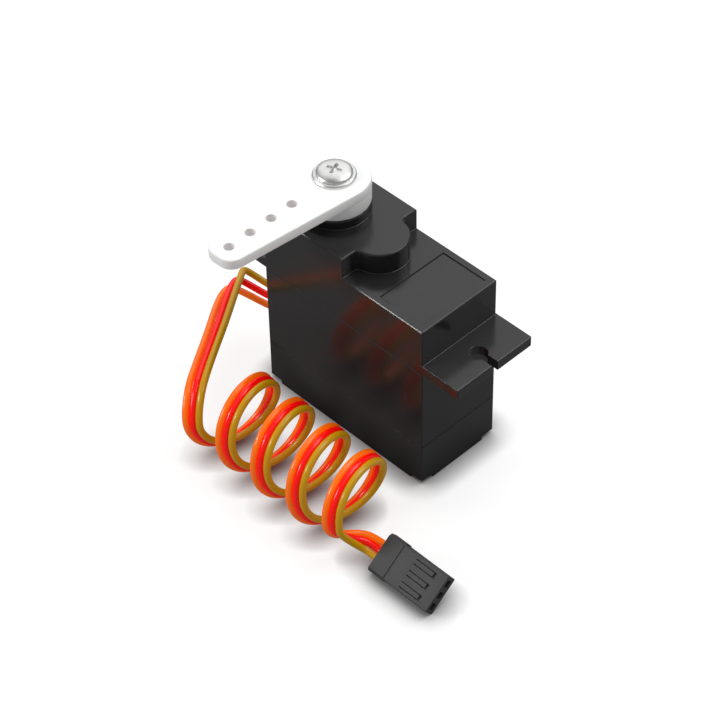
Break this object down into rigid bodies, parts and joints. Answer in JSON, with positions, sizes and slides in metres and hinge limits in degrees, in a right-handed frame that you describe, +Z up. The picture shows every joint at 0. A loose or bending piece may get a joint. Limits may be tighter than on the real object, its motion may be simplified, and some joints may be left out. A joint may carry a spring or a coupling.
{
  "type": "micro servo",
  "caption": "Micro servo with keyhole ears, a splined output with a tapered single-arm horn, an inner gear train, and a three-wire lead wound into a coil that ends in a slim plug.",
  "frame": {"origin": "centre of the case's bottom face", "axes": "+X along the case from the cable end to the motor end, -Y the side that the horn points to, +Z up along the output shaft"},
  "size_m": [0.0496, 0.0286, 0.0332],
  "materials": {
    "case_plastic": "glossy black moulded plastic with crisp, slightly worn edges",
    "horn_plastic": "satin white moulded plastic",
    "screw_steel": "bright zinc-plated steel",
    "shaft_steel": "ground steel pin",
    "bush_brass": "turned brass",
    "gear_nylon": "natural white nylon, slightly waxy",
    "pot_shell": "moulded blue plastic",
    "track_laminate": "brown paper laminate with a dark resistance track",
    "contact_metal": "thin tinned spring brass",
    "motor_steel": "drawn steel can, lightly brushed round its side",
    "motor_cap_plastic": "dark moulded plastic",
    "board_laminate": "green solder mask over glass laminate",
    "chip_plastic": "black moulded chip packages",
    "capacitor_can": "plain aluminium can",
    "grommet_rubber": "soft black rubber",
    "wire_orange": "glossy orange vinyl insulation",
    "wire_red": "glossy red vinyl insulation",
    "wire_olive": "glossy olive-mustard vinyl insulation",
    "plug_plastic": "matte dark grey moulded plastic"
  },
  "bodies": {
    "servo_case": {"gear_case": "case_plastic", "middle_case": "case_plastic", "bottom_cover": "case_plastic", "case_screws": "screw_steel", "output_bush": "bush_brass", "middle_pin": "shaft_steel", "potentiometer_housing": "pot_shell", "potentiometer_base": "track_laminate", "potentiometer_legs": "contact_metal", "motor_can": "motor_steel", "motor_end_cap": "motor_cap_plastic", "motor_tabs": "contact_metal", "circuit_board": "board_laminate", "control_chip": "chip_plastic", "driver_chips": "chip_plastic", "smoothing_capacitor": "capacitor_can", "cable_grommet": "grommet_rubber", "board_leads": "wire_red", "lead_coil": "wire_red", "plug_housing": "plug_plastic", "plug_contacts": "contact_metal", "wire_orange_drop": "wire_orange", "wire_orange_tail": "wire_orange", "wire_red_drop": "wire_red", "wire_red_tail": "wire_red", "wire_olive_drop": "wire_olive", "wire_olive_tail": "wire_olive"},
    "output_shaft": {"output_gear": "gear_nylon", "potentiometer_shaft": "shaft_steel", "potentiometer_wiper": "contact_metal", "horn": "horn_plastic", "horn_screw": "screw_steel"},
    "third_reduction": {"third_gear": "gear_nylon"},
    "second_reduction": {"second_gear": "gear_nylon"},
    "first_reduction": {"first_gear": "gear_nylon"},
    "motor_rotor": {"motor_shaft": "shaft_steel", "motor_pinion": "bush_brass"}
  },
  "joints": [
    {"name": "output_turn", "type": "hinge", "parent": "servo_case", "child": "output_shaft", "pos_m": [-0.00695, 0, 0.0274], "axis": [0, 0, 1], "range_deg": [-90, 90]},
    {"name": "third_turn", "type": "hinge", "parent": "servo_case", "child": "third_reduction", "pos_m": [-0.00125, 0, 0.0222], "axis": [0, 0, 1], "range_deg": [-260, 260]},
    {"name": "second_turn", "type": "hinge", "parent": "servo_case", "child": "second_reduction", "pos_m": [-0.00695, 0, 0.0205], "axis": [0, 0, 1], "range_deg": [-720, 720]},
    {"name": "first_turn", "type": "hinge", "parent": "servo_case", "child": "first_reduction", "pos_m": [-0.00125, 0, 0.0189], "axis": [0, 0, 1], "range_deg": [-2000, 2000]},
    {"name": "rotor_turn", "type": "hinge", "parent": "servo_case", "child": "motor_rotor", "pos_m": [0.004, 0, 0.0189], "axis": [0, 0, 1], "range_deg": [-8500, 8500]}
  ],
  "couplings": [
    {"joint": "third_turn", "follows": "output_turn", "ratio": -2.8},
    {"joint": "second_turn", "follows": "output_turn", "ratio": 7.84},
    {"joint": "first_turn", "follows": "output_turn", "ratio": -21.952},
    {"joint": "rotor_turn", "follows": "output_turn", "ratio": 93.296}
  ]
}
